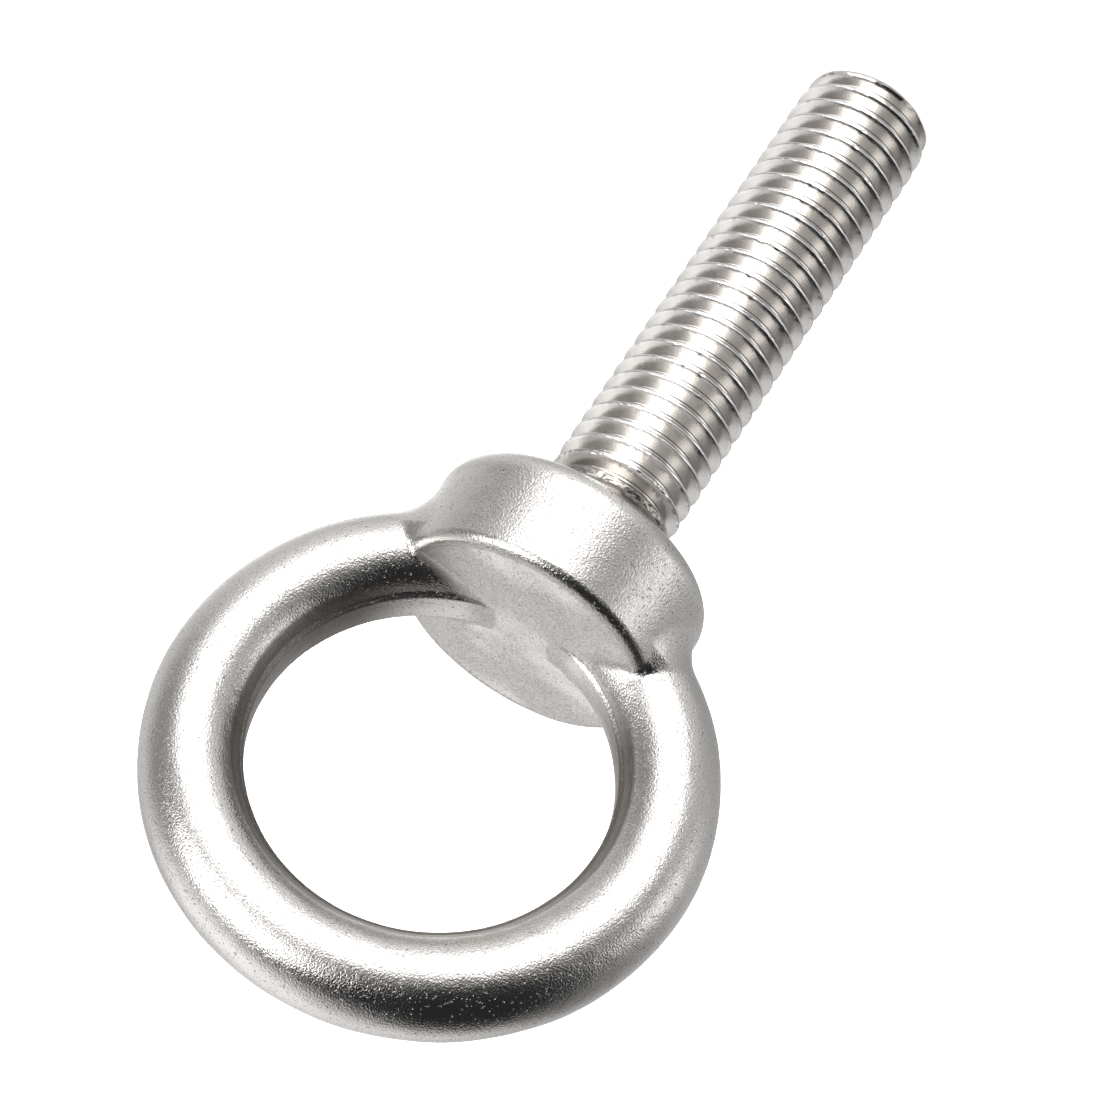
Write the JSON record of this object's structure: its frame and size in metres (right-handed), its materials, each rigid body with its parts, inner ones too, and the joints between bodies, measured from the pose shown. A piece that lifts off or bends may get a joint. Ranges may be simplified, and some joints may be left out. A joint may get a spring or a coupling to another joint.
{
  "type": "eye bolt",
  "caption": "Lifting eye bolt: a round ring on a round collar with a flat seat, and a long metric threaded stud with a short plain neck under the seat.",
  "frame": {"origin": "centre of the collar's flat seat face, on the axis of the stud", "axes": "+Z from the seat towards the ring, along the stud's axis, with the stud hanging down -Z; +Y along the axis of the eye, the way a shackle passes through it; +X across the ring"},
  "size_m": [0.0388, 0.0206, 0.0823],
  "materials": {
    "cast_stainless": "satin, cast and tumbled, with fine pits",
    "threaded_stainless": "bright, rolled thread"
  },
  "bodies": {
    "root": {"eye_head": "cast_stainless", "threaded_stud": "threaded_stainless"}
  },
  "joints": []
}
